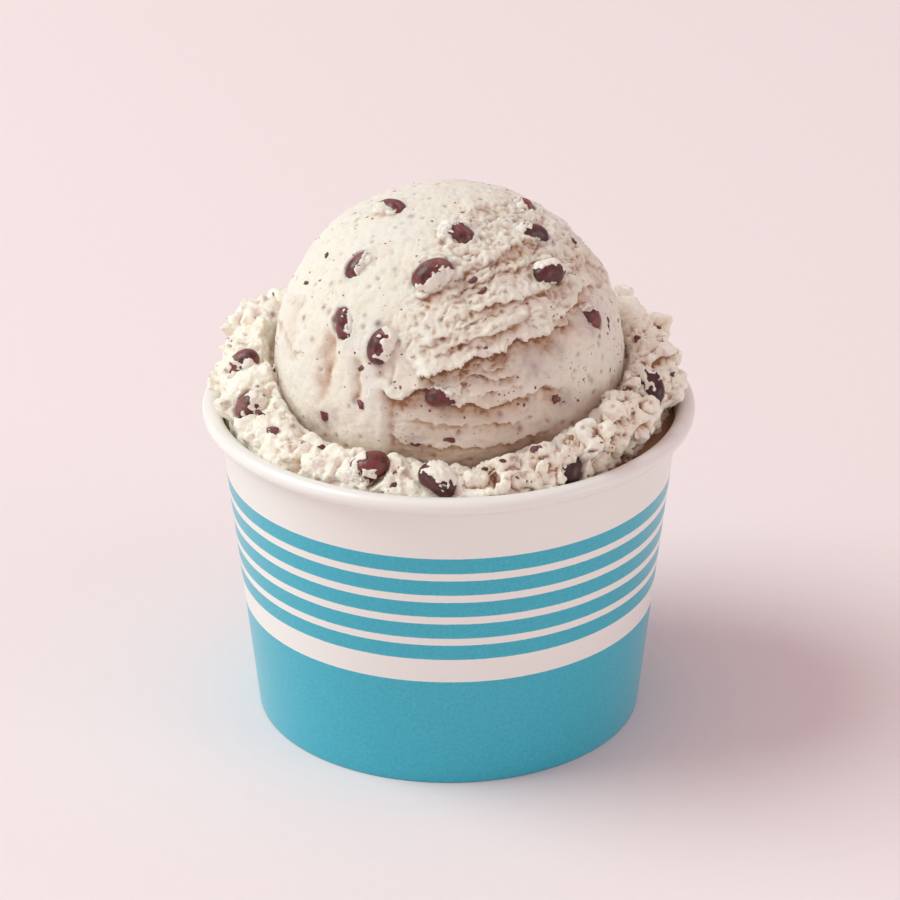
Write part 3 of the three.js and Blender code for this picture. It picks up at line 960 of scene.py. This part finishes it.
def scoop_mesh(beans):
    mesh = scoop_start()
    unit = read_points(mesh)
    unit /= np.linalg.norm(unit, axis=1, keepdims=True)
    ball = unit * SCOOP_RADIUS
    level = np.hypot(unit[:, 0], unit[:, 1])
    fullness = 2.02  # 2 is a true ball, more is fuller at the shoulders
    full = (level ** fullness + np.abs(unit[:, 2]) ** fullness) ** (-1 / fullness)

    torn = torn_share(ball)
    lift, drag, deep_shade = ledge_relief(ball)
    flat, out = in_face(ball, FRONT)
    below, along = from_line(ragged(flat, ball, 0.5, 77), LEDGES[1][1])
    stepped = smooth(-below, 0, 0.8) * (along > 0.02) * (out > 0) * smooth(flat[:, 0], -13, -11)
    stepped *= 1 - smooth(flat[:, 0], 15, 25)

    smooth_side = 0.4 * noise(ball, 15, 30) + 0.16 * noise(ball, 5.5, 31)
    smooth_side += 0.15 * noise(ball, 2.4, 32) + 0.1 * noise(ball, 1.1, 38)
    pits = bell(pit_distance(ball, 2.3, 35), 0.24)
    streaks = 0.06 * noise(ball * [1, 1, 0.12], 1.5, 36)
    scraped = 0.16 * noise(ball * [0.2, 0.2, 1], 0.9, 39) + 0.1 * noise(ball, 0.9, 40)
    few_pits = bell(pit_distance(ball, 4.0, 37), 0.12)
    grooves = groove_relief(ball)
    reach = SCOOP_RADIUS * full - RELIEF_ROOM + smooth_side + lift + grooves
    reach += torn * (torn_relief(ball) - 0.35 * pits) + (1 - torn) * streaks
    reach += stepped * (scraped - STEP_BACK) - 0.5 * few_pits * (1 - torn)

    points = SCOOP_CENTRE + unit * reach[:, None] + drag
    for node in beans:
        points = seat_bean(points, node)
    write_points(mesh, points)
    # Painted shade: under the ledges' lips, in the pits of the torn face, along the grooves and
    # on the stepped lower belt.
    belt_shade = 0.2 * stepped * (flat[:, 1] < -9)
    return mesh, np.clip(deep_shade + 0.35 * torn * pits - 0.4 * grooves + belt_shade, 0, 1)


def seen_side(degrees, axes):
    """A side named as seen from the front, along a bean's own length and width."""
    right, up, _ = face_axes(FRONT)
    turn = math.radians(degrees)
    side = axes[:2] @ (right * math.cos(turn) + up * math.sin(turn))
    return side / np.linalg.norm(side)


def seat_bean(points, node):
    """Opens the gelato over a bean with a torn edge, and draws some of it back over."""
    centre, axes, half = bean_axes(node)
    cover, cover_side = BEAN_COVERS[node]
    near = np.linalg.norm(points - centre, axis=1) < half[0] + 4
    local = (points[near] - centre) @ axes.T
    rough = 0.2 * noise(points[near], 1.8, 50) + 0.13 * noise(points[near], 0.8, 51)
    ring = np.hypot(local[:, 0] / half[0], local[:, 1] / half[1])
    window_ring = ring + 0.6 * rough
    top = half[2] * np.sqrt(np.clip(1 - ring ** 2, 0, 1))
    towards = local[:, :2] / half[:2] @ seen_side(cover_side, axes)
    covered = smooth(towards + 1.8 * rough, 1.0 - 1.4 * cover, 1.12 - 1.4 * cover)
    inside = local[:, 2] > 0
    window = (1 - smooth(window_ring, 0.86, 0.97)) * (1 - covered) * inside
    height = mix(local[:, 2], np.minimum(local[:, 2], top - 0.9), window)
    film = covered * (1 - smooth(ring, 0.95, 1.2)) * inside
    crumbly = np.abs(noise(points[near], 1.7, 53)) + 0.5 * np.abs(noise(points[near], 0.8, 54))
    height = mix(height, np.maximum(height, top - 0.1 + 0.8 * crumbly), film)
    lip = 0.08 * bell(window_ring - 1.1, 0.16) * inside
    local[:, 2] = height + lip * np.clip(1 + 1.5 * noise(points[near], 1.5, 52), 0, 2)
    points[near] = local @ axes + centre
    return points


def near_packed(points):
    """1 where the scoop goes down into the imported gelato, fading out just above it."""
    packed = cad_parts["gelato_fill"].data
    tree = BVHTree.FromPolygons([v.co / MM for v in packed.vertices],
                                [list(face.vertices) for face in packed.polygons])
    share = np.zeros(len(points))
    low, high = CUP_HEIGHT - 4, CUP_HEIGHT + 14
    for i in np.flatnonzero((points[:, 2] > low) & (points[:, 2] < high)):
        distance = tree.find_nearest(Vector(points[i]))[3]
        share[i] = 1 - smooth(distance, 0.6, 2.6)
    return share


def bean_stain(points, beans):
    """Tint that the beans give the gelato close over them."""
    stain = np.zeros(len(points))
    patchy = np.clip(0.5 + 0.9 * noise(points, 2.2, 60), 0, 1)
    for node in beans:
        centre, axes, half = bean_axes(node)
        gap = (bean_gap(points, centre, axes, half) - 1) * half[1]
        stain = np.maximum(stain, 0.3 * patchy * bell(gap, 0.5))
    for azimuth, right, up, radius, strength in BLOTCHES:
        flat, out = in_face(points - SCOOP_CENTRE, azimuth)
        away = np.hypot(flat[:, 0] - right, flat[:, 1] - up) / radius
        blotch = strength * bell(away, 1) * (out > 8) * mix(0.4, 1, patchy)
        stain = np.maximum(stain, blotch)
    random = np.random.default_rng(5)
    for centre in points[random.choice(len(points), 150)]:
        radius, strength = random.uniform(0.3, 0.75), random.uniform(0.3, 0.85)
        away = np.linalg.norm(points - centre, axis=1) / radius
        stain = np.maximum(stain, strength * bell(away, 1))
    return stain


# ---------------------------------------------------------------------------
# The collar of packed gelato
# ---------------------------------------------------------------------------

def collar_start():
    """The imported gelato's own solid, cut level at PACK_TOP less an overlap."""
    bm = bmesh.new()
    bm.from_mesh(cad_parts["gelato_fill"].data)
    bmesh.ops.scale(bm, vec=(1 / MM,) * 3, verts=bm.verts)
    bmesh.ops.remove_doubles(bm, verts=bm.verts, dist=1e-3)
    cut = bmesh.ops.bisect_plane(
        bm, geom=bm.verts[:] + bm.edges[:] + bm.faces[:], dist=1e-4,
        plane_co=(0, 0, PACK_TOP - 1), plane_no=(0, 0, 1), clear_inner=True)
    rim = [item for item in cut["geom_cut"] if isinstance(item, bmesh.types.BMEdge)]
    bmesh.ops.holes_fill(bm, edges=rim, sides=0)
    bmesh.ops.recalc_face_normals(bm, faces=bm.faces)
    return bm


def crumb_places(mesh, count, random):
    """Places and outward directions spread evenly over the part of the collar that shows."""
    areas, triangles, normals = [], [], []
    for face in mesh.polygons:
        centre, normal = np.array(face.center), np.array(face.normal)
        ball = centre - SCOOP_CENTRE
        inward = normal @ ball < 0 and np.linalg.norm(ball) < SCOOP_RADIUS + 3
        if centre[2] > LOWEST_CRUMB and not inward:
            areas.append(face.area)
            triangles.append([mesh.vertices[i].co for i in face.vertices[:3]])
            normals.append(normal)
    share = np.array(areas) / sum(areas)
    picks = random.choice(len(areas), size=count, p=share)
    mix_in = random.random((count, 2))
    flip = mix_in.sum(axis=1) > 1
    mix_in[flip] = 1 - mix_in[flip]
    corners = np.array(triangles)[picks]
    places = (corners[:, 0] + mix_in[:, :1] * (corners[:, 1] - corners[:, 0])
              + mix_in[:, 1:] * (corners[:, 2] - corners[:, 0]))
    return places, np.array(normals)[picks]


def clear_of_beans(place, size, beans):
    """Whether a crumb leaves the open side of every bean in sight."""
    for node, (centre, axes, half) in beans.items():
        local = axes @ (place - centre)
        beside = np.hypot(*(local[:2] / (half[:2] + 0.6 * size))) > 1
        cover, cover_side = BEAN_COVERS[node]
        covered = local[:2] / half[:2] @ seen_side(cover_side, axes) > 1 - 1.5 * cover
        if local[2] > -1.5 and not beside and not covered:
            return False
    return True


def ruggedness(azimuth):
    """How broken the collar is: chunky crumbs at the right front, closer at the left."""
    return 0.45 + 0.8 * bell(azimuth + 32, 42.0)


def crumb_spots(base, gelato, bean_frames):
    """A matrix for each crumb that fits beside the wall and leaves the beans in sight."""
    random = np.random.default_rng(21)
    places, normals = crumb_places(base, gelato.crumbs, random)
    sizes = np.clip(random.lognormal(math.log(1.1), 0.55, gelato.crumbs), 0.45, 3.4)
    spots = []
    for place, normal, size in zip(places, normals, sizes):
        azimuth = math.degrees(math.atan2(place[1], place[0]))
        chunky = float(ruggedness(azimuth))
        size *= 0.75 + 0.5 * chunky
        inside = wall_radius(place[2]) - 0.5 - 0.6 * size - wall_gap(azimuth)
        radius = math.hypot(place[0], place[1])
        turn = Matrix.Rotation(random.uniform(0, math.tau), 4, Vector(random.normal(size=3)))
        stretch = Matrix.Diagonal((*size * random.uniform((0.8, 0.5, 0.3), (1.5, 1.1, 0.7)), 1))
        if place[2] < CUP_HEIGHT + 1.5 and radius > inside:
            continue
        if not clear_of_beans(place, size, bean_frames):
            continue
        stands = random.uniform(-0.5, 0.1) + 0.45 * chunky
        spot = Matrix.Translation(Vector(place + normal * size * stands))
        spots.append(spot @ turn @ stretch)
    return spots


def one_skin(mesh, voxel):
    """The mesh's overlapping lumps joined under one skin."""
    lump = bpy.data.objects.new("collar_crumbs", mesh)
    bpy.context.scene.collection.objects.link(lump)
    remesh = lump.modifiers.new("one skin", "REMESH")
    remesh.mode = "VOXEL"
    remesh.voxel_size = voxel
    shown = lump.evaluated_get(bpy.context.evaluated_depsgraph_get())
    joined = bpy.data.meshes.new_from_object(shown)
    bpy.data.objects.remove(lump)
    return joined


def crumbled(mesh, points, bean_frames):
    """The collar's points with torn relief on them, weaker round the beans."""
    normals = vertex_normals(mesh)
    rugged = ruggedness(azimuth_of(points))
    clear = np.ones(len(points))
    for centre, axes, half in bean_frames.values():
        clear = np.minimum(clear, smooth(bean_gap(points, centre, axes, half), 1.0, 1.4))
    bent = points + 0.9 * shift(points, 3, (87, 88, 89))
    torn = bent + 0.42 * shift(points, 0.9, (97, 98, 99))
    rough = rugged * (1.4 * (mounds(bent, 4.6, 79) - 0.75) + 0.9 * plates(torn, 3.4, 80))
    fine = 0.7 * plates(torn, 1.9, 81) + 0.5 * (crests(torn, 1.6, 82) - 0.4)
    smeared = smooth(noise(points, 7.0, 90), -0.1, 0.45)  # where the scoop's edge wiped it
    rough += fine * (0.3 + 0.65 * rugged) * (1 - 0.75 * smeared)
    rough -= 0.9 * bell(pit_distance(bent, 4.5, 83), 0.2)
    return points + normals * (np.clip(rough, -1.9, 1.3) * clear)[:, None]


def without_spikes(mesh, points):
    """Draws points that stand far out from their neighbours back towards them."""
    soft = neighbour_mean(mesh, points, 6)
    spike = np.linalg.norm(points - soft, axis=1)
    return mix(points, soft, np.clip(spike - 0.65, 0, 0.85)[:, None])


def collar_mesh(gelato, beans):
    bm = collar_start()
    base = bpy.data.meshes.new("collar_base")
    bm.to_mesh(base)
    bean_frames = {node: bean_axes(node) for node in beans}
    bm.from_mesh(mesh_from(blobs(crumb_spots(base, gelato, bean_frames), 2), "lumps"))
    crumbs = mesh_from(bm, "collar_crumbs")
    points = read_points(crumbs)
    push = 0.95 * shift(points, 3.4, (70, 71, 72), layers=3)
    write_points(crumbs, keep_in_cup(points + push, 2.2))

    mesh = one_skin(crumbs, gelato.voxel / MM)
    mesh.name = "gelato_collar_finish"
    refine_front(mesh)
    points = neighbour_mean(mesh, read_points(mesh), 1)
    write_points(mesh, points)
    points = without_spikes(mesh, crumbled(mesh, points, bean_frames))
    for node in beans:
        points = seat_bean(points, node)
    write_points(mesh, part_from_scoop(within_wall(points, 0, 2.4)))
    return mesh


def refine_front(mesh):
    """Halves the edges of the collar's front and crest, where it is seen from close by."""
    bm = bmesh.new()
    bm.from_mesh(mesh)
    shown = {v for v in bm.verts
             if v.co.z > CUP_HEIGHT - 2.5 and v.co.y < 12 and v.normal.z - v.normal.y > 0.1}
    edges = [e for e in bm.edges if e.verts[0] in shown and e.verts[1] in shown]
    bmesh.ops.subdivide_edges(bm, edges=edges, cuts=1, use_grid_fill=True)
    bmesh.ops.triangulate(bm, faces=bm.faces)
    bm.to_mesh(mesh)
    bm.free()


def wall_gap(azimuth):
    """Width of the empty strip between the collar and the wall, widest at the right front."""
    return 3.8 * np.exp(-((azimuth + 26) / 27) ** 4) + 1.0 * (np.abs(azimuth) > 145)


def within_wall(points, gap, overhang):
    """Holds points inside the wall by a gap; above the rim they may lean out by the overhang."""
    inner = wall_radius(np.minimum(points[:, 2], CUP_HEIGHT)) - COLLAR_INSET
    above = smooth(points[:, 2], CUP_HEIGHT - 1.5, CUP_HEIGHT + 2.5)
    limit = inner - gap * (1 - 0.5 * above) + above * overhang
    points[:, :2] *= np.minimum(1, limit / np.maximum(radius_of(points), 1e-6))[:, None]
    return points


def keep_in_cup(points, overhang):
    """Holds the gelato inside the wall, with the strip left open beside it."""
    gap = wall_gap(azimuth_of(points)) * (1 + 0.4 * noise(points, 3.5, 100))
    return within_wall(points, gap, overhang)


def part_from_scoop(points):
    """Lowers the collar's inner edge into a narrow crease round the scoop."""
    beside = np.linalg.norm(points - SCOOP_CENTRE, axis=1) - SCOOP_RADIUS
    parted = 1 - np.exp(-((azimuth_of(points) + 95) / 32) ** 4)
    uneven = 0.4 * noise(points, 3.5, 100)
    points[:, 2] -= 1.7 * parted * (1 - smooth(beside + uneven, 0.4, 0.9))
    return points


# ---------------------------------------------------------------------------
# Broken beans and flecks of skin
# ---------------------------------------------------------------------------

def surface_tree(*pieces):
    """A search tree over finished pieces, in mm."""
    corners, faces = [], []
    for piece in pieces:
        start = len(corners)
        corners.extend(Vector(p) for p in read_points(piece.data) / MM)
        faces.extend([start + i for i in face.vertices] for face in piece.data.polygons)
    return BVHTree.FromPolygons(corners, faces)


def upright(place, normal, roll):
    """A place whose Z is the surface's outward direction."""
    turn = Vector(normal).to_track_quat("Z", "Y").to_matrix().to_4x4()
    return Matrix.Translation(place) @ turn @ Matrix.Rotation(roll, 4, "Z")


def fragments_mesh(tree):
    spots = []
    for azimuth, radius, length, width, roll in COLLAR_FRAGMENTS:
        above = Vector(level_direction(azimuth)) * radius + Vector((0, 0, 120))
        place, normal, _, _ = tree.ray_cast(above, Vector((0, 0, -1)))
        spot = upright(place - Vector(normal) * 0.15, normal, math.radians(roll))
        spots.append(spot @ Matrix.Diagonal((length / 2, width / 2, 0.5, 1)))
    for azimuth, right, up, length, width, roll in FRAGMENTS:
        axes = face_axes(azimuth)
        depth = math.sqrt(max(SCOOP_RADIUS ** 2 - right ** 2 - up ** 2, 4))
        aim = Vector(axes[0] * right + axes[1] * up + axes[2] * depth).normalized()
        centre = Vector(SCOOP_CENTRE)
        place, normal, _, _ = tree.ray_cast(centre + aim * 60, -aim)
        if place is None:
            raise RuntimeError("a broken bean missed the scoop")
        spot = upright(place - aim * 0.12, (Vector(normal) + aim).normalized(),
                       math.radians(roll))
        shape = Matrix.Diagonal((length / 2, width / 2, 0.45, 1))
        spots.append(spot @ shape)
    mesh = mesh_from(blobs(spots, 4), "bean_pieces")
    points = read_points(mesh)
    write_points(mesh, points + 0.35 * shift(points, 1.4, (84, 85, 86), layers=3))
    return mesh


def flecks_mesh(tree, count):
    random = np.random.default_rng(43)
    spots = []
    while len(spots) < count:
        aim = Vector(random.normal(size=3)).normalized()
        if aim.z < -0.45:
            continue
        start = Vector(SCOOP_CENTRE) + aim * 70
        place, normal, _, _ = tree.ray_cast(start, -aim)
        sparse = aim.z > 0.3 or aim.x < -0.3 or aim.y > 0
        if place is None or place.z < CUP_HEIGHT - 6 or (sparse and random.random() < 0.72):
            continue
        size = min(0.65, 0.14 * math.exp(abs(random.normal()) * 0.62))
        inward = Vector(normal) * size * 0.2
        spot = upright(place - inward, normal, random.uniform(0, math.tau))
        shape = Matrix.Diagonal((size, size * random.uniform(0.35, 0.9), size * 0.4, 1))
        spots.append(spot @ shape)
    mesh = mesh_from(blobs(spots, 2), "skin_flecks")
    points = read_points(mesh)
    write_points(mesh, points + 0.08 * shift(points, 0.4, (94, 95, 96)))
    return mesh


# ---------------------------------------------------------------------------
# Operators
# ---------------------------------------------------------------------------

class GELATO_OT_cup_wall(bpy.types.Operator):
    """Make the printed paper wall with its rolled rim and foot"""
    bl_idname = "gelato.cup_wall"
    bl_label = "Cup wall"

    def execute(self, context):
        cup = context.scene.paper_cup
        materials = [printed_paperboard(cup.white, cup.ink), plain_paperboard(cup.white)]
        make_object("cup_wall_finish", cup_wall_mesh(cup), materials,
                    ["cup_wall"])
        return {"FINISHED"}


class GELATO_OT_cup_base(bpy.types.Operator):
    """Make the recessed bottom disc"""
    bl_idname = "gelato.cup_base"
    bl_label = "Cup base"

    def execute(self, context):
        cup = context.scene.paper_cup
        material = bpy.data.materials.get("uncoated paperboard") or plain_paperboard(cup.white)
        make_object("cup_base_finish", cup_base_mesh(cup), [material],
                    ["cup_base"])
        return {"FINISHED"}


class GELATO_OT_packed(bpy.types.Operator):
    """Make the gelato packed into the cup under its ragged top"""
    bl_idname = "gelato.packed"
    bl_label = "Packed gelato"

    def execute(self, context):
        gelato = context.scene.gelato
        floor = FLOOR_HEIGHT + 0.1
        low, high = (wall_radius(z) - PACKED_INSET for z in (floor, RECESS_FLOOR))
        profile = [(0, floor), (low, floor), (high, RECESS_FLOOR),
                   (high - 5, RECESS_FLOOR + 0.6), (0, PACK_TOP)]
        mesh = mesh_from(spun(profile, 128, closed=False), "gelato_packed")
        # Full painted shade over all the packed gelato; it shows only in the shadowed recess
        # beside the wall.
        paint(mesh, "painted_shade", np.ones(len(mesh.vertices)))
        paint(mesh, "stain", np.zeros(len(mesh.vertices)))
        material = churned_gelato("packed gelato", gelato.cream, gelato.painted_shade, gelato.stain, 0.3)
        make_object("gelato_packed", mesh, [material], ["gelato_fill"])
        return {"FINISHED"}


class GELATO_OT_beans(bpy.types.Operator):
    """Make the whole red beans"""
    bl_idname = "gelato.beans"
    bl_label = "Whole beans"

    def execute(self, context):
        beans = context.scene.red_beans
        material = cooked_bean_skin("cooked bean skin", beans.skin, beans.edge, 0.6)
        for number, node in enumerate(BEANS):
            make_object(node + "_skin", bean_mesh(node, number), [material], [node])
        return {"FINISHED"}


class GELATO_OT_scoop(bpy.types.Operator):
    """Make the scoop, with its torn face, ledges and seats for beans"""
    bl_idname = "gelato.scoop"
    bl_label = "Scoop"

    def execute(self, context):
        gelato = context.scene.gelato
        seated = [node for node in BEANS if node not in SUNK_BEANS]
        mesh, deep_shade = scoop_mesh(seated)
        # The value painted below is painted shade: in creases, under the ledges' lips, and where
        # the scoop goes down beside the collar.
        creases = np.clip(hollow_depth(mesh, 24) / 0.42, 0, 1)
        foot = near_packed(read_points(mesh))
        paint(mesh, "painted_shade", np.clip(0.75 * creases + 0.85 * deep_shade + 0.25 * foot, 0, 1))
        paint(mesh, "stain", bean_stain(read_points(mesh), seated))
        material = churned_gelato(
            "scooped gelato", gelato.cream, gelato.painted_shade, gelato.stain, 0.65)
        make_object("gelato_scoop_finish", mesh, [material], ["gelato_scoop"])
        return {"FINISHED"}


class GELATO_OT_collar(bpy.types.Operator):
    """Make the crumbly collar that stands round the scoop"""
    bl_idname = "gelato.collar"
    bl_label = "Collar"

    def execute(self, context):
        gelato = context.scene.gelato
        mesh = collar_mesh(gelato, SUNK_BEANS)
        # Painted shade in the collar's creases and wider hollows, stronger where it is more
        # broken.
        creases = smooth(hollow_depth(mesh, 14), 0.02, 0.35)
        deep_shade = smooth(hollow_depth(mesh, 120), 0.1, 1.4)
        points = read_points(mesh)
        collar_shade = (0.95 * creases + 1.05 * deep_shade) * ruggedness(azimuth_of(points))
        paint(mesh, "painted_shade", np.clip(collar_shade, 0, 1))
        paint(mesh, "stain", bean_stain(points, SUNK_BEANS))
        # The cream is made a warmer tone, and also brighter as painted light that offsets the
        # collar's self-shadowing.
        warmer_cream_with_painted_light = tuple(min(1, c * f) for c, f in zip(gelato.cream, (1.15, 1.11, 1.1)))
        material = churned_gelato("torn gelato", warmer_cream_with_painted_light, gelato.painted_shade, gelato.stain, 0.6)
        make_object("gelato_collar", mesh, [material], ["gelato_fill"])
        return {"FINISHED"}


class GELATO_OT_bits(bpy.types.Operator):
    """Make the broken beans and the flecks of skin"""
    bl_idname = "gelato.bits"
    bl_label = "Bean bits"

    def execute(self, context):
        beans = context.scene.red_beans
        scoop = bpy.data.objects["gelato_scoop_finish"]
        collar = bpy.data.objects["gelato_collar"]
        material = cooked_bean_skin("broken bean skin", beans.skin, beans.edge, 0.4)
        tree = surface_tree(scoop, collar)
        make_object("bean_pieces", fragments_mesh(tree), [material])
        flecks = flecks_mesh(tree, beans.flecks)
        soaked = cooked_bean_skin("soaked bean skin", beans.soaked, beans.skin, 0.6)
        make_object("skin_flecks", flecks, [soaked])
        return {"FINISHED"}


class GELATO_OT_stage(bpy.types.Operator):
    """Make the floor, the light and the camera"""
    bl_idname = "gelato.stage"
    bl_label = "Stage"

    def execute(self, context):
        scene = context.scene
        studio = scene.studio
        bm = bmesh.new()
        bmesh.ops.create_grid(bm, x_segments=4, y_segments=4, size=4)
        floor = bpy.data.objects.new("floor", mesh_from(bm, "floor"))
        floor.data.materials.append(sweep_paper(studio.floor))
        scene.collection.objects.link(floor)

        world = bpy.data.worlds.new("studio")
        world.use_nodes = True
        surround = world.node_tree.nodes["Background"]
        surround.inputs["Color"].default_value = SURROUND_COLOUR
        surround.inputs["Strength"].default_value = studio.fill
        scene.world = world

        aim = Vector((0, 0, CUP_HEIGHT * MM))
        for name, place, size, share in LIGHTS:
            self.soft_light(scene, name, aim, place, size, studio.key * share)
        scene.view_settings.view_transform = "Standard"
        scene.view_settings.look = "None"
        self.camera(scene)
        return {"FINISHED"}

    @staticmethod
    def soft_light(scene, name, aim, place, size, watts):
        light = bpy.data.lights.new(name, "AREA")
        light.shape = "DISK"
        light.size = size
        light.energy = watts
        light.color = LIGHT_COLOUR
        lamp = bpy.data.objects.new(name, light)
        lamp.location = aim + Vector(place)
        lamp.rotation_euler = (-Vector(place)).to_track_quat("-Z", "Y").to_euler()
        scene.collection.objects.link(lamp)

    @staticmethod
    def camera(scene):
        elevation = math.radians(CAMERA_ELEVATION)
        away = Vector((0, -math.cos(elevation), math.sin(elevation)))
        lens = bpy.data.cameras.new("camera")
        lens.lens = LENS
        lens.sensor_width = SENSOR_WIDTH
        camera = bpy.data.objects.new("camera", lens)
        camera.location = (Vector(CAMERA_AIM) + away * CAMERA_DISTANCE) * MM
        camera.rotation_euler = away.to_track_quat("Z", "Y").to_euler()
        scene.collection.objects.link(camera)
        scene.camera = camera


class GELATO_PT_panel(bpy.types.Panel):
    """Lists the pieces of the gelato cup and their settings"""
    bl_idname = "GELATO_PT_panel"
    bl_label = "Gelato cup"
    bl_space_type = "VIEW_3D"
    bl_region_type = "UI"
    bl_category = "Gelato"

    def draw(self, context):
        for group in SETTINGS:
            values = getattr(context.scene, group)
            for name in values.__annotations__:
                self.layout.prop(values, name)
        for operator in OPERATORS:
            self.layout.operator(operator.bl_idname)


SETTINGS = {"paper_cup": PaperCupSettings, "gelato": GelatoSettings,
            "red_beans": BeanSettings, "studio": StudioSettings}
OPERATORS = [GELATO_OT_cup_wall, GELATO_OT_cup_base, GELATO_OT_packed, GELATO_OT_beans,
             GELATO_OT_scoop, GELATO_OT_collar, GELATO_OT_bits, GELATO_OT_stage]


def register():
    for settings in SETTINGS.values():
        bpy.utils.register_class(settings)
    for name, settings in SETTINGS.items():
        setattr(bpy.types.Scene, name, PointerProperty(type=settings))
    for operator in OPERATORS:
        bpy.utils.register_class(operator)
    bpy.utils.register_class(GELATO_PT_panel)


def unregister():
    bpy.utils.unregister_class(GELATO_PT_panel)
    for operator in reversed(OPERATORS):
        bpy.utils.unregister_class(operator)
    for name, settings in SETTINGS.items():
        delattr(bpy.types.Scene, name)
        bpy.utils.unregister_class(settings)


def main():
    register()
    for operator in OPERATORS:
        prefix, name = operator.bl_idname.split(".")
        getattr(getattr(bpy.ops, prefix), name)()


if __name__ == "__main__":
    main()
